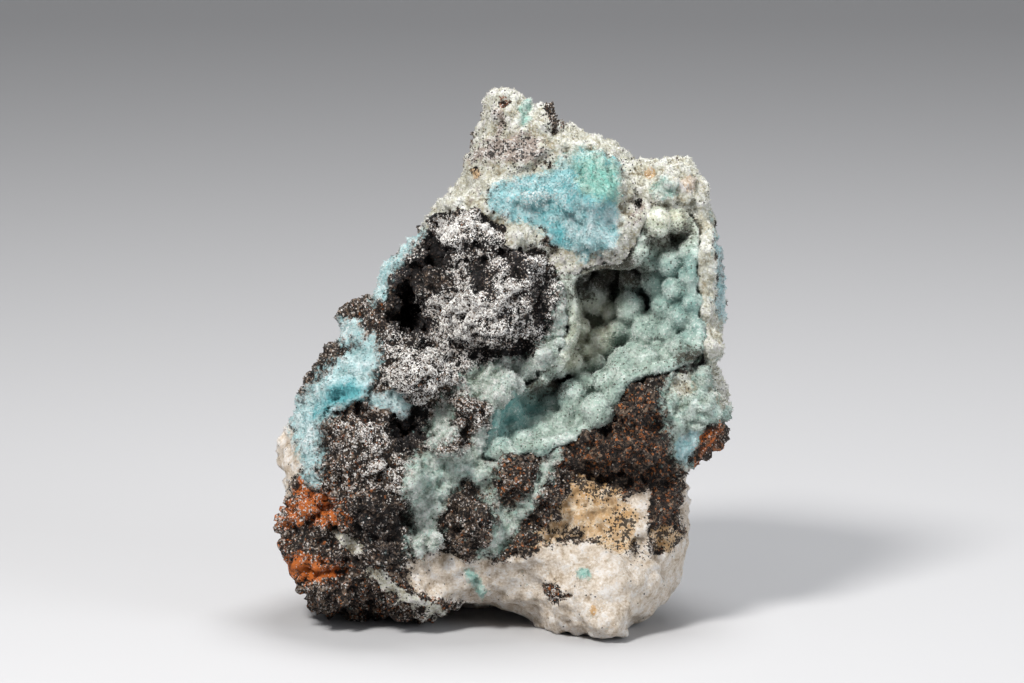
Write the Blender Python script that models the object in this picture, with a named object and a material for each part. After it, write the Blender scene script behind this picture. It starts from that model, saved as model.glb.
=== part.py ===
"""A cabinet specimen of hemimorphite, 76 mm tall.

Blue-green hemimorphite has grown over a block of brown gossan that stands on a foot of pale carbonate.
The rock is one solid. The crust of round drusy lumps that lines its hollow is the other.

Outlines and places on the face are read off the front view in picture pixels, x to the right and y down.
Depths are real millimetres, in front of the stone's middle plane where they are positive.
"""

import math

import bmesh
import bpy
from mathutils import Matrix, Vector, noise

MM = 0.001

# The stone's real height, and the top and foot of the front view that it stands for.
HEIGHT = 76 * MM
TOP_Y = 84
FOOT_Y = 641
PIXEL = HEIGHT / (FOOT_Y - TOP_Y)

# The front view looks down on the stone by this much. The flat foot and the middle of the stone's
# bounding box are brought to the origin.
VIEW_TILT = math.radians(10)
MIDDLE_X = 503
FOOT_CUT = 2.4 * MM
SHIFT_RIGHT = 0.3 * MM
SHIFT_BACK = -9.7 * MM

# Grain of the worked meshes and what is left of them once they are reduced.
ROCK_GRAIN = 0.9 * MM
CRUST_GRAIN = 0.5 * MM
MOULD_GRAIN = 1.6 * MM
ROCK_TRIANGLES = 6200
CRUST_TRIANGLES = 4400
MOULD_TRIANGLES = 420
CONTACT_GAP = 0.35 * MM

# The silhouette, clockwise from the peak.
STONE_OUTLINE = [
    (501, 84), (509, 87), (516, 95), (530, 101), (541, 103), (549, 109), (556, 119), (563, 130),
    (583, 132), (596, 137), (610, 141), (620, 149), (624, 159), (636, 165), (660, 164), (691, 160),
    (694, 173), (706, 181), (706, 192), (715, 204), (718, 217), (712, 226), (719, 243), (723, 266),
    (725, 286), (723, 302), (717, 320), (718, 349), (711, 359), (719, 367), (725, 386), (725, 410),
    (718, 428), (706, 456), (686, 461), (679, 467), (687, 480), (688, 500), (684, 511), (686, 532),
    (679, 553), (677, 575), (668, 589), (645, 610), (623, 636), (607, 641), (586, 638), (564, 629),
    (530, 615), (497, 611), (475, 605), (453, 598), (443, 611), (432, 618), (415, 613), (397, 607),
    (384, 607), (370, 612), (357, 605), (343, 615), (332, 617), (320, 611), (306, 599), (290, 576),
    (288, 543), (280, 524), (281, 511), (288, 502), (281, 485), (279, 468), (283, 449), (290, 427),
    (301, 406), (306, 383), (316, 369), (335, 355), (344, 341), (344, 326), (357, 315), (369, 305),
    (379, 303), (381, 265), (388, 260), (409, 246), (430, 230), (432, 204), (449, 194), (462, 177),
    (467, 161), (480, 140), (488, 132), (482, 118), (484, 106), (493, 97), (496, 87),
]
STONE_CENTRE = (515, 400)
# Each slice through the body, from back to front: depth in millimetres, size, and rounds of rounding.
BODY_SLICES = [
    (-24, 0.42, 20), (-21, 0.66, 16), (-15, 0.87, 11), (-7, 0.98, 6),
    (0, 1.0, 0), (4, 0.985, 1), (7.5, 0.93, 3), (10, 0.78, 6),
]

# Every lump of the rock: x, y, half width and half height in pixels, depth of its centre and half
# its depth in millimetres, and its turn in degrees, anticlockwise in the front view.
LUMPS = {
    "peak knob": (502, 103, 14, 17, 0, 5, 20),
    "peak neck": (513, 128, 26, 24, 0, 7, 0),
    "peak right shoulder": (550, 122, 10, 14, -1, 5, 30),
    "speckled lens": (516, 158, 50, 22, 1, 10, 8),
    "cream crest": (592, 152, 32, 16, 1, 8, -18),
    "turquoise dome": (592, 196, 44, 40, 3, 13, 0),
    "turquoise slope": (528, 203, 44, 26, 1, 10.5, 10),
    "dome lip": (600, 240, 42, 30, 5, 9.5, 20),
    "dome lip right": (630, 225, 14, 22, 5, 8.5, -20),
    "left shoulder": (458, 207, 28, 20, 2, 8.5, 20),
    "yellow knob": (517, 241, 16, 19, 5, 9, 0),
    "corner block": (667, 186, 34, 22, 1, 9.5, 0),
    "corner tip": (699, 192, 10, 14, 0, 7, 0),
    "right rim upper": (708, 250, 10, 40, 2, 8.5, 0),
    "right rim lower": (710, 312, 10, 42, 1, 8.5, 0),
    "vug sill right": (708, 345, 14, 18, 2, 9, 0),
    "upper drusy lump": (472, 240, 38, 28, 4, 10, -12),
    "main drusy lump": (492, 303, 62, 55, 4, 14.5, 0),
    "main drusy brow": (520, 275, 32, 26, 5, 12, -20),
    "left ridge": (394, 285, 13, 32, 0, 6, -12),
    "brown knob": (364, 326, 20, 20, 0, 7.5, 0),
    "pale drusy step": (424, 373, 46, 30, 4, 12, 10),
    "vug rim upper": (553, 305, 12, 36, 5, 9, 4),
    "vug rim middle": (538, 355, 22, 16, 5, 9.5, 30),
    "vug rim lower": (503, 388, 26, 18, 5, 9.5, 40),
    "mint shoulder": (478, 405, 24, 30, 4, 11, -30),
    "brown flecks upper": (470, 408, 18, 24, 6, 10.5, -25),
    "brown flecks lower": (450, 447, 18, 18, 5, 10.5, -35),
    "blue shelf": (350, 372, 34, 20, 2, 7, 35),
    "blue bank": (316, 425, 16, 44, 1, 7, -20),
    "dark bead": (334, 418, 13, 15, 4, 7.5, 0),
    "brown dome upper": (366, 448, 42, 44, 3, 13.5, -10),
    "brown dome middle": (378, 497, 44, 44, 4, 13, 0),
    "brown dome lower": (390, 550, 36, 38, 3, 11.5, 0),
    "pale drape": (404, 482, 22, 34, 7, 10.5, -20),
    "white cheek": (292, 468, 13, 36, -2, 8, 4),
    "rust lump upper": (318, 515, 34, 26, 0, 10.5, -20),
    "rust lump middle": (320, 552, 34, 26, 0, 10.5, -20),
    "rust lump lower": (338, 585, 42, 26, -1, 11, -15),
    "left heel": (350, 592, 40, 28, -6, 12, 0),
    "foot ridge": (412, 590, 46, 20, 2, 10, -28),
    "foot ridge tip": (432, 604, 16, 12, 0, 7, 0),
    "mint vein": (432, 530, 20, 44, 3, 10, 10),
    "dark triangle": (473, 522, 34, 38, 4, 12, 0),
    "brown lump left": (515, 478, 28, 30, 3, 10.5, 0),
    "brown lump right": (545, 498, 26, 34, 3, 10.5, -20),
    "gossan block upper": (640, 408, 26, 30, 4, 11.5, 0),
    "gossan block": (632, 448, 46, 28, 4, 12, 12),
    "gossan tail": (664, 500, 16, 44, 2, 9, 10),
    "sandy slope": (600, 508, 52, 34, 1, 9.5, 0),
    "carbonate brow": (560, 555, 112, 42, 0, 12.5, -4),
    "carbonate toe": (600, 590, 74, 50, 2, 12.5, 20),
    "toe tip": (604, 618, 30, 24, 6, 9.5, 0),
    "carbonate right": (664, 545, 22, 48, -1, 8, 0),
    "right cheek": (698, 408, 28, 50, 0, 10.5, 0),
    "right cheek low": (702, 440, 14, 18, 0, 6, 0),
    "back spine": (520, 300, 90, 130, -16, 9, 12),
    "back shoulder": (600, 260, 80, 80, -13, 8, 0),
    "back boss": (430, 450, 100, 90, -17, 9, -20),
    "back hip": (590, 470, 84, 90, -16, 10, 0),
    "back heel": (470, 585, 100, 40, -15, 11, 0),
    "back toe": (590, 590, 50, 40, -10, 10, 0),
}

# What is broken or dissolved out of the rock, in the same terms.
PITS = {
    "upper drusy pit": (439, 254, 9, 19, 13, 8, 6),
    "drusy pit arm": (420, 272, 26, 8, 12, 7, 0),
    "left drusy pit": (408, 308, 16, 28, 9, 9, 10),
    "middle drusy pit": (482, 271, 14, 10, 18, 6, 0),
    "black pit": (405, 430, 20, 22, 15, 10, 0),
    "blue recess": (337, 397, 20, 9, 9, 5, 10),
    "blue recess lower": (312, 418, 10, 7, 9, 4, 40),
    "turquoise recess": (561, 237, 15, 7, 16, 5, -40),
    "left notch": (352, 350, 14, 12, 9, 4, 30),
    "cheek crease": (684, 364, 24, 6, 9, 7, -8),
    "gossan undercut": (600, 474, 40, 9, 12, 6, 4),
    "foot arch": (462, 622, 34, 22, 6, 16, 0),
    "peak hollow": (524, 112, 6, 9, 8, 4, 0),
    "corner pocket": (637, 205, 5, 9, 13, 5, 0),
    "back hollow": (500, 370, 50, 40, -27, 6, 0),
    "back step": (620, 380, 40, 60, -28, 8, 0),
    "back corner": (380, 330, 60, 40, -20, 9, 30),
}

# The mouth of the hollow, clockwise from its upper left, and how it narrows with depth.
VUG_MOUTH = [
    (556, 274), (586, 280), (613, 274), (630, 256), (637, 232), (645, 211), (663, 213), (682, 213),
    (697, 209), (701, 226), (698, 250), (697, 285), (701, 315), (706, 338), (703, 352), (684, 362),
    (668, 374), (650, 377), (632, 379), (616, 396), (604, 420), (582, 436), (560, 447), (540, 453),
    (518, 456), (498, 459), (478, 463), (480, 444), (488, 424), (494, 405), (508, 388), (530, 379),
    (548, 365), (560, 346), (566, 325), (561, 300),
]
VUG_CENTRE = (606, 345)
VUG_SLICES = [
    (-9.5, 0.30, 2), (-8.5, 0.56, 1), (-5, 0.80, 1), (-1, 0.91, 0), (4, 0.97, 0), (9, 1.0, 0), (26, 1.02, 0),
]
# Where the hollow runs back under its own rim.
VUG_RECESSES = {
    "under the dome": (594, 286, 36, 34, 1, 9, 0),
    "upper right pocket": (668, 232, 24, 18, 3, 7, 0),
    "lower left cave": (532, 402, 34, 22, 2, 7, 10),
    "side slot": (682, 362, 18, 10, 4, 6, -10),
}

# The crust is this thick where it has no lumps. Broad swells carry the lumps, in the terms of the rock's.
LINING = 1.7 * MM
CRUST_SWELLS = {
    "right wall upper": (676, 250, 24, 34, -1, 6.0, 0),
    "right wall": (676, 300, 26, 50, -3, 6.2, 0),
    "middle": (640, 334, 30, 30, -5, 7.0, 0),
    "deep side": (590, 335, 30, 34, -9, 6.5, 0),
    "sill": (598, 402, 26, 30, -1, 7.0, -20),
    "sill right": (640, 366, 30, 14, 0, 5.0, -10),
    "cave floor": (524, 430, 46, 26, -3, 7.0, 20),
}

# The round lumps of the crust: x, y and radius in pixels, and the depth of the front of each in
# millimetres. A lump is deeper than it is wide.
LUMP_DEPTH = 1.35
CRUST_LUMPS = [
    # Down the right wall, from the pocket under the corner.
    (651, 218, 13, 7.5), (672, 224, 10, 6.5), (688, 228, 9, 7.0), (661, 240, 11, 5.5),
    (647, 259, 15, 5.5), (670, 262, 15, 7.0), (689, 252, 11, 7.5), (689, 278, 12, 8.0),
    (653, 284, 13, 4.5), (673, 290, 13, 6.5), (692, 304, 11, 8.0), (662, 307, 12, 5.0),
    (680, 317, 13, 7.0), (697, 326, 9, 8.0), (667, 331, 11, 5.5), (690, 342, 12, 8.5),
    (674, 349, 12, 6.5), (657, 352, 11, 5.0),
    # The pale pair in the middle and what is round them.
    (629, 309, 14, 3.0), (646, 330, 16, 5.0), (618, 330, 11, 1.0), (634, 352, 12, 4.5),
    (611, 314, 9, -1.0), (630, 287, 10, 1.0), (641, 368, 12, 7.0), (622, 366, 15, 7.5),
    # The creamy lumps of the deep side.
    (596, 303, 14, -1.5), (578, 328, 12, 0.5), (602, 342, 15, 1.0), (583, 302, 8, -2.0),
    (570, 312, 8, 1.0), (567, 346, 10, 3.0), (584, 352, 10, 1.5), (595, 363, 10, 2.5),
    (572, 364, 12, 4.0), (557, 368, 11, 5.0), (606, 284, 11, -2.5), (582, 284, 8, -1.0),
    # Hanging from the lip of the dome.
    (616, 264, 9, 6.5), (629, 255, 8, 7.0), (634, 240, 8, 8.0), (640, 226, 7, 8.5),
    # The sill in front of the brown block.
    (606, 381, 12, 7.5), (585, 385, 13, 5.5), (574, 405, 13, 7.5), (594, 409, 14, 9.0),
    (609, 398, 8, 8.5), (581, 425, 10, 8.5), (566, 422, 10, 7.0), (561, 437, 9, 8.0),
    # The smooth floor of the lower left cave.
    (545, 394, 17, 2.0), (521, 400, 17, 3.0), (546, 418, 20, 4.5), (517, 424, 20, 5.5),
    (536, 440, 17, 7.0), (511, 446, 15, 7.5), (496, 434, 12, 7.5), (499, 414, 11, 6.0),
    (487, 452, 9, 8.5),
]

# Relief of the broken surface: size of the bumps and how far they stand out, in millimetres.
ROUGHNESS = [(9.0, 1.1), (3.6, 0.75), (1.8, 0.35)]

ROCK_COLOUR = (0.16, 0.12, 0.09, 1.0)
CRUST_COLOUR = (0.42, 0.66, 0.62, 1.0)


def place(x, y, depth):
    """The point that the front view shows at x, y, that many millimetres in front of the middle plane."""
    right = (x - MIDDLE_X) * PIXEL
    up = (FOOT_Y - y) * PIXEL
    out = depth * MM
    back = up * math.sin(VIEW_TILT) - out * math.cos(VIEW_TILT)
    high = up * math.cos(VIEW_TILT) + out * math.sin(VIEW_TILT)
    return Vector((right + SHIFT_RIGHT, back + SHIFT_BACK, high - FOOT_CUT))


def view_turn():
    """Columns point right, up and out of the front view."""
    return Matrix.Rotation(math.radians(90) - VIEW_TILT, 4, "X")


def add_lump(mesh, x, y, half_width, half_height, depth, half_depth, turn=0, rings=3):
    size = Matrix.Diagonal((half_width * PIXEL, half_height * PIXEL, half_depth * MM, 1))
    spin = Matrix.Rotation(math.radians(turn), 4, "Z")
    where = Matrix.Translation(place(x, y, depth))
    bmesh.ops.create_icosphere(mesh, subdivisions=rings, radius=1, matrix=where @ view_turn() @ spin @ size)


def rounded(outline, rounds):
    """The outline with its bumps worn down. Each round draws every corner towards its two neighbours."""
    corners = [Vector(corner) for corner in outline]
    for _ in range(rounds):
        before = corners[-1:] + corners[:-1]
        after = corners[1:] + corners[:1]
        corners = [(last + 2 * here + following) / 4 for last, here, following in zip(before, corners, after)]
    return corners


def add_slices(mesh, outline, centre, slices):
    """A closed body through copies of an outline, each at its depth and drawn in towards the centre."""
    middle = Vector(centre)
    rings = []
    for depth, size, rounds in slices:
        corners = [middle + (corner - middle) * size for corner in rounded(outline, rounds)]
        rings.append([mesh.verts.new(place(x, y, depth)) for x, y in corners])
    count = len(outline)
    for back, front in zip(rings, rings[1:]):
        for i in range(count):
            j = (i + 1) % count
            mesh.faces.new((back[i], back[j], front[j], front[i]))
    mesh.faces.new(reversed(rings[0]))
    mesh.faces.new(rings[-1])
    bmesh.ops.triangulate(mesh, faces=[f for f in mesh.faces if len(f.verts) > 4])


def new_object(name, mesh, helper=False):
    """The bmesh as an object with its faces pointing out. A helper is left out of the model."""
    bmesh.ops.recalc_face_normals(mesh, faces=mesh.faces)
    data = bpy.data.meshes.new(name)
    mesh.to_mesh(data)
    mesh.free()
    made = bpy.data.objects.new(name, data)
    bpy.context.scene.collection.objects.link(made)
    made.hide_render = helper
    if helper:
        made.display_type = "WIRE"
    return made


def settle(made):
    """Replaces the object's mesh with what its modifiers make of it."""
    graph = bpy.context.evaluated_depsgraph_get()
    data = bpy.data.meshes.new_from_object(made.evaluated_get(graph))
    made.modifiers.clear()
    made.data = data
    return made


def melt_together(made, grain):
    """One closed skin round all the shapes that overlap in the object."""
    skin = made.modifiers.new("skin", "REMESH")
    skin.mode = "VOXEL"
    skin.voxel_size = grain
    return settle(made)


def cut(made, other, operation="DIFFERENCE", solver="EXACT"):
    boolean = made.modifiers.new(other.name, "BOOLEAN")
    boolean.operation = operation
    boolean.solver = solver
    boolean.object = other
    return boolean


def reduce_to(made, triangles):
    made.data.calc_loop_triangles()
    decimate = made.modifiers.new("reduce", "DECIMATE")
    decimate.ratio = triangles / len(made.data.loop_triangles)
    return settle(made)


def keep_largest(made):
    """Drops the crumbs that a cut leaves beside the main body."""
    mesh = bmesh.new()
    mesh.from_mesh(made.data)
    islands = []
    unseen = set(mesh.verts)
    while unseen:
        front = [unseen.pop()]
        island = list(front)
        while front:
            near = {edge.other_vert(vertex) for vertex in front for edge in vertex.link_edges} & unseen
            unseen -= near
            front = list(near)
            island += front
        islands.append(island)
    islands.sort(key=len)
    bmesh.ops.delete(mesh, geom=[vertex for island in islands[:-1] for vertex in island])
    mesh.to_mesh(made.data)
    mesh.free()
    return made


def soften(made, rounds):
    smooth = made.modifiers.new("soften", "SMOOTH")
    smooth.factor = 0.5
    smooth.iterations = rounds
    return settle(made)


def move_out(made, distance_at):
    """Moves each point along its normal by what the function gives for its place."""
    normals = [vertex.normal.copy() for vertex in made.data.vertices]
    for vertex, normal in zip(made.data.vertices, normals):
        vertex.co += normal * distance_at(vertex.co)
    return made


def broken_surface(spot):
    """A sum of noises, from broad swells to small bumps."""
    return sum(noise.noise(spot / (size * MM)) * height * MM for size, height in ROUGHNESS)


def lump_body(name, lumps):
    mesh = bmesh.new()
    for row in lumps.values():
        add_lump(mesh, *row)
    return new_object(name, mesh, helper=True)


def stone_block():
    """The rock before its hollow and its foot are cut."""
    mesh = bmesh.new()
    add_slices(mesh, STONE_OUTLINE, STONE_CENTRE, BODY_SLICES)
    for row in LUMPS.values():
        add_lump(mesh, *row)
    block = melt_together(new_object("matrix", mesh), ROCK_GRAIN)
    pits = melt_together(lump_body("pits", PITS), ROCK_GRAIN)
    cut(block, pits)
    settle(block)
    return move_out(soften(melt_together(block, ROCK_GRAIN), 2), broken_surface)


def vug_shape(name):
    """The space of the hollow, from its floor to well in front of the stone."""
    mesh = bmesh.new()
    add_slices(mesh, VUG_MOUTH, VUG_CENTRE, VUG_SLICES)
    for row in VUG_RECESSES.values():
        add_lump(mesh, *row)
    return new_object(name, mesh, helper=True)


def moulded(made):
    return reduce_to(melt_together(made, MOULD_GRAIN), MOULD_TRIANGLES)


def foot_cutter():
    """Everything under the surface that the stone stands on."""
    mesh = bmesh.new()
    below = Matrix.Translation((0, 0, -HEIGHT / 2))
    bmesh.ops.create_cube(mesh, size=1, matrix=below @ Matrix.Diagonal((2 * HEIGHT, 2 * HEIGHT, HEIGHT, 1)))
    return new_object("below_foot", mesh, helper=True)


def copy_of(made, name, helper=False):
    twin = bpy.data.objects.new(name, made.data.copy())
    bpy.context.scene.collection.objects.link(twin)
    twin.hide_render = helper
    if helper:
        twin.display_type = "WIRE"
    return twin


def crust_body(block, mould):
    """The lining of the hollow: rock-shaped at its rim, open inside, with the round lumps joined on."""
    plug = melt_together(vug_shape("crust_plug"), ROCK_GRAIN)
    inner = soften(copy_of(plug, "crust_hollow", helper=True), 4)
    move_out(inner, lambda spot: -LINING)
    melt_together(inner, ROCK_GRAIN)
    crust = copy_of(block, "vug_crust")
    # The exact solver loses these two fine meshes. Both are closed, so the other one is safe.
    cut(crust, move_out(plug, lambda spot: CONTACT_GAP), "INTERSECT", "MANIFOLD")
    cut(crust, inner, "DIFFERENCE", "MANIFOLD")
    settle(crust)
    mesh = bmesh.new()
    mesh.from_mesh(crust.data)
    for row in CRUST_SWELLS.values():
        add_lump(mesh, *row)
    for x, y, radius, front in CRUST_LUMPS:
        half_depth = radius * PIXEL / MM * LUMP_DEPTH
        add_lump(mesh, x, y, radius, radius, front - half_depth, half_depth)
    mesh.to_mesh(crust.data)
    mesh.free()
    melt_together(crust, CRUST_GRAIN)
    reduce_to(crust, CRUST_TRIANGLES)
    envelope = move_out(copy_of(mould, "crust_envelope", helper=True), lambda spot: -CONTACT_GAP)
    cut(crust, envelope, "INTERSECT")
    return keep_largest(settle(crust))


def paint(made, name, colour, roughness):
    material = bpy.data.materials.new(name)
    material.use_nodes = True
    shader = material.node_tree.nodes["Principled BSDF"]
    shader.inputs["Base Color"].default_value = colour
    shader.inputs["Roughness"].default_value = roughness
    shader.inputs["Metallic"].default_value = 0.0
    made.data.materials.clear()
    made.data.materials.append(material)


def clear_scene():
    for thing in list(bpy.data.objects):
        bpy.data.objects.remove(thing)


def main():
    clear_scene()
    block = stone_block()
    mould = moulded(vug_shape("vug_mould"))
    crust = crust_body(block, mould)
    reduce_to(block, ROCK_TRIANGLES)
    cut(block, mould)
    cut(block, foot_cutter())
    keep_largest(settle(block))
    paint(block, "gossan and carbonate", ROCK_COLOUR, 0.85)
    paint(crust, "drusy hemimorphite", CRUST_COLOUR, 0.45)


main()
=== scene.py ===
"""A cabinet specimen of hemimorphite on gossan and calcite: its fine surface, colours and crystals.

Places on the face are read off the front view in picture pixels, x to the right and y down.
"""

import math

import bmesh
import bpy
import numpy as np
from mathutils import Matrix, Vector, noise
from mathutils.bvhtree import BVHTree


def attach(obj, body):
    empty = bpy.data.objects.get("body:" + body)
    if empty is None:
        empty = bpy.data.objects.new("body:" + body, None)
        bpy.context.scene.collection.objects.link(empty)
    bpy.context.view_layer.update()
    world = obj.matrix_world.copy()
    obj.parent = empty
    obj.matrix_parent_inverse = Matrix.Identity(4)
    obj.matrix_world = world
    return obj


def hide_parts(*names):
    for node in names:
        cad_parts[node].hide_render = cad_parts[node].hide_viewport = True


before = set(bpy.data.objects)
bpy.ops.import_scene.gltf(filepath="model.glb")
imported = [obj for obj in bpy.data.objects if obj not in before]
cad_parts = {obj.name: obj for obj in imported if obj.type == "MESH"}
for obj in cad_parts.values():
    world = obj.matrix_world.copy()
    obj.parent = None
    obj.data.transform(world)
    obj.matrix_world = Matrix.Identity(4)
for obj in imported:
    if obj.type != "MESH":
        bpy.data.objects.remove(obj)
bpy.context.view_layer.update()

# The view of the face.
# The specimen stands on a pale table under soft studio lights. The camera looks 10 degrees down on it
# from in front, and the picture's own scale and middle set the lens.
MM = 0.001
PIXEL = 76 * MM / 557
PICTURE_WIDTH = 1024
PICTURE_HEIGHT = 683
VIEW_TILT = math.radians(10)
MIDDLE_X = 503
FOOT_Y = 641
FOOT_CUT = 2.4 * MM
SHIFT_RIGHT = 0.3 * MM
SHIFT_BACK = -9.7 * MM
CAMERA_DISTANCE = 1.1
SENSOR = 36.0
OUT = Vector((0, -math.cos(VIEW_TILT), math.sin(VIEW_TILT)))


def place(x, y, depth):
    """The point that the front view shows at x, y, that many millimetres in front of the middle plane."""
    right = (x - MIDDLE_X) * PIXEL
    up = (FOOT_Y - y) * PIXEL
    out = depth * MM
    back = up * math.sin(VIEW_TILT) - out * math.cos(VIEW_TILT)
    high = up * math.cos(VIEW_TILT) + out * math.sin(VIEW_TILT)
    return Vector((right + SHIFT_RIGHT, back + SHIFT_BACK, high - FOOT_CUT))


def new_object(name, data):
    made = bpy.data.objects.new(name, data)
    bpy.context.scene.collection.objects.link(made)
    return made


def area_light(name, where, aim, size, power, colour):
    data = bpy.data.lights.new(name, "AREA")
    data.shape = "DISK"
    data.size = size
    data.energy = power
    data.color = colour
    lamp = new_object(name, data)
    lamp.location = where
    lamp.rotation_euler = (Vector(aim) - Vector(where)).to_track_quat("-Z", "Y").to_euler()
    return lamp


camera_data = bpy.data.cameras.new("camera")
camera_data.sensor_width = SENSOR
camera_data.lens = SENSOR * CAMERA_DISTANCE / (PICTURE_WIDTH * PIXEL)
camera_data.clip_start = 0.05
camera_data.clip_end = 20
camera = new_object("camera", camera_data)
camera.location = place(PICTURE_WIDTH / 2, PICTURE_HEIGHT / 2, 0) + OUT * CAMERA_DISTANCE
camera.rotation_euler = (math.radians(90) - VIEW_TILT, 0, 0)
bpy.context.scene.camera = camera
bpy.context.scene.view_settings.view_transform = "Standard"

MIDDLE = (0, 0, 0.036)
area_light("key", (-0.2, -0.32, 0.44), MIDDLE, 0.14, 4.1, (1.0, 0.98, 0.95))
area_light("fill", (0.42, -0.3, 0.2), MIDDLE, 0.3, 1.3, (0.94, 0.97, 1.0))
area_light("top", (0.08, 0.12, 0.5), MIDDLE, 0.26, 2.1, (1.0, 1.0, 1.0))

world = bpy.data.worlds.new("studio")
world.use_nodes = True
world.node_tree.nodes["Background"].inputs["Color"].default_value = (0.84, 0.87, 0.92, 1)
world.node_tree.nodes["Background"].inputs["Strength"].default_value = 0.24
bpy.context.scene.world = world


def table_top():
    """A wide sheet that turns up behind the stone in one curve."""
    half_width, front, back, height, bend = 2.5, -2.5, 1.2, 2.2, 0.6
    profile = [(front, 0.0), (back - bend, 0.0)]
    for step in range(1, 13):
        angle = math.radians(90 * step / 12)
        profile.append((back - bend + bend * math.sin(angle), bend - bend * math.cos(angle)))
    profile.append((back, height))
    mesh = bmesh.new()
    rows = [[mesh.verts.new((side * half_width, y, z)) for side in (-1, 1)] for y, z in profile]
    for near, far in zip(rows, rows[1:]):
        mesh.faces.new((near[0], near[1], far[1], far[0]))
    data = bpy.data.meshes.new("table_top")
    mesh.to_mesh(data)
    mesh.free()
    data.shade_smooth()
    material = bpy.data.materials.new("pale paper")
    material.use_nodes = True
    shader = material.node_tree.nodes["Principled BSDF"]
    shader.inputs["Base Color"].default_value = (0.44, 0.44, 0.45, 1)
    shader.inputs["Roughness"].default_value = 0.7
    data.materials.append(material)
    return new_object("table_top", data)


table_top()

# The rock.
# A block of brown-black gossan on a foot of cream calcite. Thin skins have grown over it: turquoise and
# mint hemimorphite, a pale granular crust, and a druse of white and black grains.
ROCK_GRAIN = 0.46 * MM
COATS = ("sand", "calcite", "cream", "mint", "blue", "rust")
OUTSIDE_PATCHES = {"deep": 0.1, "dark": 0.4, "frost": 0.25, "pepper": 0.25}


def spot(x, y, radius_x, radius_y=None):
    """An eight-sided outline round a point."""
    radius_y = radius_y or radius_x
    turns = [math.radians(45 * step + 22) for step in range(8)]
    return [(x + radius_x * math.cos(turn), y + radius_y * math.sin(turn)) for turn in turns]


# The thin crack across the druse, which is both painted and pressed in.
CRACK = [
    (432, 224), (440, 215), (452, 212), (466, 212), (482, 215), (496, 221), (507, 230), (506, 231),
    (495, 223), (481, 217), (466, 214), (452, 214), (441, 217), (433, 226)]
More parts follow.
